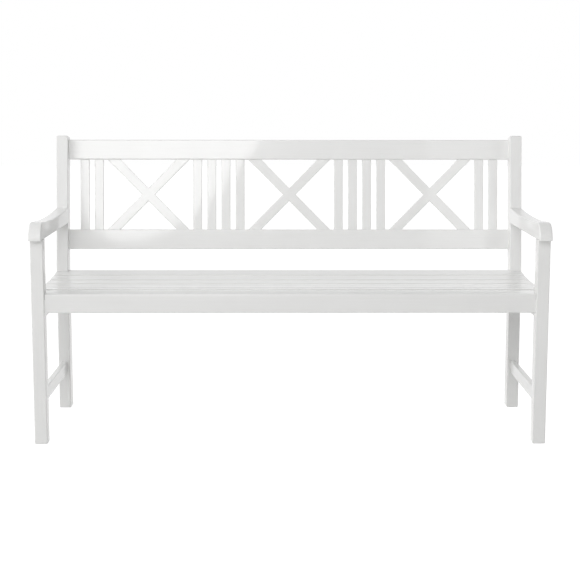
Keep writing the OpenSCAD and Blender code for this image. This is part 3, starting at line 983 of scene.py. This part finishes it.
class BENCH_OT_seat(bpy.types.Operator):
    """Lays the six slats of the seat"""

    bl_idname = "bench.seat"
    bl_label = "Seat slats"

    def execute(self, context):
        settings = context.scene.bench_timber
        # The first is flush with the front rail and the last is notched round the posts
        dress_timbers(["seat_slat_1", "seat_slat_6"], (1, 0, 0), 40)
        slats(
            "seat_slats_middle",
            [f"seat_slat_{k}" for k in range(2, 6)],
            ((1, 0, 0), (0, 1, 0)),
            settings.seat_slat_edge,
            settings.arris,
        )
        return {"FINISHED"}


class BENCH_OT_back_slats(bpy.types.Operator):
    """Stands the twelve upright slats between the rails of the back"""

    bl_idname = "bench.back_slats"
    bl_label = "Back slats"

    def execute(self, context):
        slats(
            "back_slats_planed",
            [f"back_slat_{k:02d}" for k in range(1, 13)],
            ((0, 0, 1), (1, 0, 0)),
            context.scene.bench_timber.back_slat_edge,
        )
        return {"FINISHED"}


class BENCH_OT_braces(bpy.types.Operator):
    """Crosses two braces in each square panel of the back"""

    bl_idname = "bench.braces"
    bl_label = "Crossed braces"

    def execute(self, context):
        settings = context.scene.bench_timber
        # The braces stand in the plane of the slats, and in housings of the same depth
        place, axes, size = solids("back_slat_01", (1, 0, 0), (0, 1, 0))[0]
        sites, names = [], []
        for panel in PANELS:
            pair = [f"{panel}_brace_{kind}" for kind in ("rising", "falling")]
            lo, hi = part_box(pair[0])
            sites.append((Vector(((lo.x + hi.x) / 2, place.y, place.z)), axes))
            names += pair
        inputs = {
            "Width": hi.x - lo.x,
            "Height": float(size[2]),
            "Brace width": settings.brace_width,
            "Thickness": float(size[1]),
            "Edge": settings.brace_edge,
            "Steps": settings.edge_steps,
            "Finish": lacquer(),
        }
        grown("crossed_braces", brace_tree(), sites, inputs, "white_lacquer", *names)
        return {"FINISHED"}


class BENCH_OT_fasteners(bpy.types.Operator):
    """Sets the bolts, barrel nuts and slat screws"""

    bl_idname = "bench.fasteners"
    bl_label = "Fasteners"

    def execute(self, context):
        settings = context.scene.bench_fasteners
        shared = {"Rim": settings.rim, "Sides": settings.sides, "Finish": zinc()}
        bolt = {
            "Head height": settings.bolt_head,
            "Shank diameter": settings.bolt_shank,
            "Socket": settings.bolt_socket,
        }
        nut = {"Hole": settings.bolt_shank * 1.1, "Slot": settings.nut_slot}
        screw = {
            "Head height": settings.screw_head,
            "Shank diameter": settings.screw_shank,
            "Recess": settings.screw_cross,
        }
        rows = (
            ("frame_bolts", bolt_tree(), ((1, 0, 0), (0, 0, 1)), "Head diameter", bolt),
            ("barrel_nuts", nut_tree(), ((0, 1, 0), (1, 0, 0)), "Diameter", nut),
            ("slat_screws", screw_tree(), ((0, 0, -1), (1, 0, 0)), "Head diameter", screw),
        )
        for name, tree, hints, widest, sizes in rows:
            # A bolt's head is on the outer side of the bench, whichever side that is
            found = solids(name, *hints, outward=name == "frame_bolts")
            sites = []
            for place, axes, size in found:
                out, beside, third = axes.transposed()
                turn = Matrix((beside, third, out)).transposed()
                sites.append((place + out * float(size[0]) / 2, turn))
            inputs = {"Length": float(size[0]), widest: float(size[1]), **sizes, **shared}
            grown(name + "_zinc", tree, sites, inputs, "zinc_steel", name)
        return {"FINISHED"}


def seen_rays(tree):
    """1 for rays from the camera, from a gloss or through glass, and 0 for the others."""
    path = node(tree, "ShaderNodeLightPath").outputs
    seen = (path["Is Camera Ray"], path["Is Glossy Ray"])
    seen = (node(tree, "ShaderNodeMath", seen, operation="MAXIMUM"), path["Is Transmission Ray"])
    return node(tree, "ShaderNodeMath", seen, operation="MAXIMUM")


def lamp(name, place, target, shape, size, power, roll=0):
    """A soft lamp that looks at a point, turned in its own plane by roll degrees."""
    light = bpy.data.lights.new(name, "AREA")
    light.shape = shape
    light.size, light.size_y = size
    light.energy = power
    made = bpy.data.objects.new(name, light)
    bpy.context.scene.collection.objects.link(made)
    made.visible_camera = False
    aim = (Vector(target) - Vector(place)).to_track_quat("-Z", "Y").to_matrix()
    spin = Matrix.Rotation(math.radians(roll), 3, "Z")
    made.matrix_world = Matrix.Translation(place) @ (aim @ spin).to_4x4()
    return made


class BENCH_OT_stage(bpy.types.Operator):
    """Builds the pale floor, the soft lamps and the camera"""

    bl_idname = "bench.stage"
    bl_label = "Studio"

    def execute(self, context):
        scene, settings = context.scene, context.scene.bench_stage
        scene.view_settings.view_transform = "Standard"
        self.lay_floor(scene, settings)
        self.raise_walls(scene, settings)
        self.hang_lamps(settings)
        self.set_camera(scene, settings)
        return {"FINISHED"}

    def lay_floor(self, scene, settings):
        """A floor that shows white and keeps its shadows, and lights the bench as itself."""
        made, tree = new_material("pale_studio_floor")
        tone = (*settings.floor_colour, 1)
        matt = node(tree, "ShaderNodeBsdfDiffuse", {"Color": tone})
        # Seen by the camera or in a gloss, the floor is lifted to white and keeps its shadows
        faint = (*[c * settings.floor_shade for c in settings.floor_colour], 1)
        dark = node(tree, "ShaderNodeBsdfDiffuse", {"Color": faint})
        glow = node(
            tree, "ShaderNodeEmission", {"Color": WHITE, "Strength": settings.floor_glow}
        )
        lifted = node(tree, "ShaderNodeAddShader", (dark, glow))
        shader = node(tree, "ShaderNodeMixShader", (seen_rays(tree), matt, lifted))
        node(tree, "ShaderNodeOutputMaterial", {"Surface": shader})

        mesh = bpy.data.meshes.new("studio_floor")
        reach = 14
        corners = [(-reach, -reach, 0), (reach, -reach, 0), (reach, reach, 0), (-reach, reach, 0)]
        mesh.from_pydata(corners, [], [(0, 1, 2, 3)])
        mesh.materials.append(made)
        floor = bpy.data.objects.new("studio_floor", mesh)
        scene.collection.objects.link(floor)

    def raise_walls(self, scene, settings):
        """Walls that show white, and light the bench from three sides."""
        world = bpy.data.worlds.new("studio_walls")
        world.use_nodes = True
        tree = world.node_tree
        tree.nodes.clear()
        white = node(tree, "ShaderNodeBackground", {"Color": WHITE, "Strength": 1.0})
        # Each wall lights most from straight ahead of it, and not at all from behind
        towards = node(tree, "ShaderNodeTexCoord").outputs["Generated"]
        light = 0
        for wall_at, strength in (
            ((-1, 0, 0), settings.wall_left),
            ((0, -1, 0), settings.wall_front),
            ((0, 1, 0), settings.wall_back),
        ):
            share = node(
                tree, "ShaderNodeVectorMath", (towards, wall_at), operation="DOT_PRODUCT"
            ).outputs["Value"]
            share = node(tree, "ShaderNodeMath", (share, 0), operation="MAXIMUM")
            light = node(tree, "ShaderNodeMath", (share, strength, light), operation="MULTIPLY_ADD")
        soft = node(tree, "ShaderNodeBackground", {"Color": WHITE, "Strength": light})
        walls = node(tree, "ShaderNodeMixShader", (seen_rays(tree), soft, white))
        node(tree, "ShaderNodeOutputWorld", {"Surface": walls})
        scene.world = world

    def hang_lamps(self, settings):
        """The soft lamps, placed and sized so that the bench mirrors them as photographed."""
        # The back, which leans, mirrors the oval on the left and the strip on the right
        oval, strip = (-0.435, -3.65, 2.56), (1.09, -3.65, 1.6)
        ahead = [(place[0], 0, place[2]) for place in (oval, strip)]
        lamp("oval_lamp", oval, ahead[0], "ELLIPSE", (3.02, 1.25), settings.oval_power, 64.9)
        lamp("strip_lamp", strip, ahead[1], "RECTANGLE", (0.42, 1.2), settings.strip_power)
        lamp("high_lamp", (-2.2, -0.8, 2.4), (0, 0, 0.5), "RECTANGLE", (1, 1), settings.high_power)
        # This one only fills the right side, so no gloss shows it
        beside = (1.6, 0.25, 0.6)
        fill = lamp(
            "side_lamp", beside, (0, 0.1, 0.45), "RECTANGLE", (0.8, 0.9), settings.side_power
        )
        fill.visible_glossy = False

    def set_camera(self, scene, settings):
        """The camera, where the edges of the bench in the photograph put it."""
        camera = bpy.data.cameras.new("photo_camera")
        camera.lens = settings.lens
        camera.sensor_width = 36
        camera.sensor_fit = "HORIZONTAL"
        yaw, pitch, roll = (math.radians(a) for a in (0.482, 8.479, 0.055))
        ahead = Vector(
            (
                math.sin(yaw) * math.cos(pitch),
                math.cos(yaw) * math.cos(pitch),
                -math.sin(pitch),
            )
        )
        right = ahead.cross(Vector((0, 0, 1))).normalized()
        above = right.cross(ahead)
        side = right * math.cos(roll) + above * math.sin(roll)
        over = side.cross(ahead)
        turn = Matrix((side, over, -ahead)).transposed().to_4x4()
        viewer = bpy.data.objects.new("photo_camera", camera)
        scene.collection.objects.link(viewer)
        viewer.matrix_world = Matrix.Translation((-0.035, -4.2417, 1.0556)) @ turn
        scene.camera = viewer


class BENCH_PT_panel(bpy.types.Panel):
    """Sizes, colours and steps of the bench"""

    bl_idname = "BENCH_PT_panel"
    bl_label = "Garden bench"
    bl_space_type = "VIEW_3D"
    bl_region_type = "UI"
    bl_category = "Bench"

    def draw(self, context):
        for group in SETTINGS:
            box = self.layout.box()
            holder = getattr(context.scene, group)
            for key in holder.bl_rna.properties.keys():
                if key not in ("rna_type", "name"):
                    box.prop(holder, key)
        column = self.layout.column(align=True)
        for operator in OPERATORS:
            column.operator(operator.bl_idname)


SETTINGS = {
    "bench_lacquer": LacquerSettings,
    "bench_timber": TimberSettings,
    "bench_fasteners": FastenerSettings,
    "bench_stage": StageSettings,
}
OPERATORS = (
    BENCH_OT_legs,
    BENCH_OT_rails,
    BENCH_OT_armrests,
    BENCH_OT_seat,
    BENCH_OT_back_slats,
    BENCH_OT_braces,
    BENCH_OT_fasteners,
    BENCH_OT_stage,
)
CLASSES = (*SETTINGS.values(), *OPERATORS, BENCH_PT_panel)


def register():
    for kind in CLASSES:
        bpy.utils.register_class(kind)
    for name, kind in SETTINGS.items():
        setattr(bpy.types.Scene, name, PointerProperty(type=kind))


def unregister():
    for name in SETTINGS:
        delattr(bpy.types.Scene, name)
    for kind in reversed(CLASSES):
        bpy.utils.unregister_class(kind)


def main():
    register()
    bpy.ops.bench.legs()
    bpy.ops.bench.rails()
    bpy.ops.bench.armrests()
    bpy.ops.bench.seat()
    bpy.ops.bench.back_slats()
    bpy.ops.bench.braces()
    bpy.ops.bench.fasteners()
    bpy.ops.bench.stage()


if __name__ == "__main__":
    main()
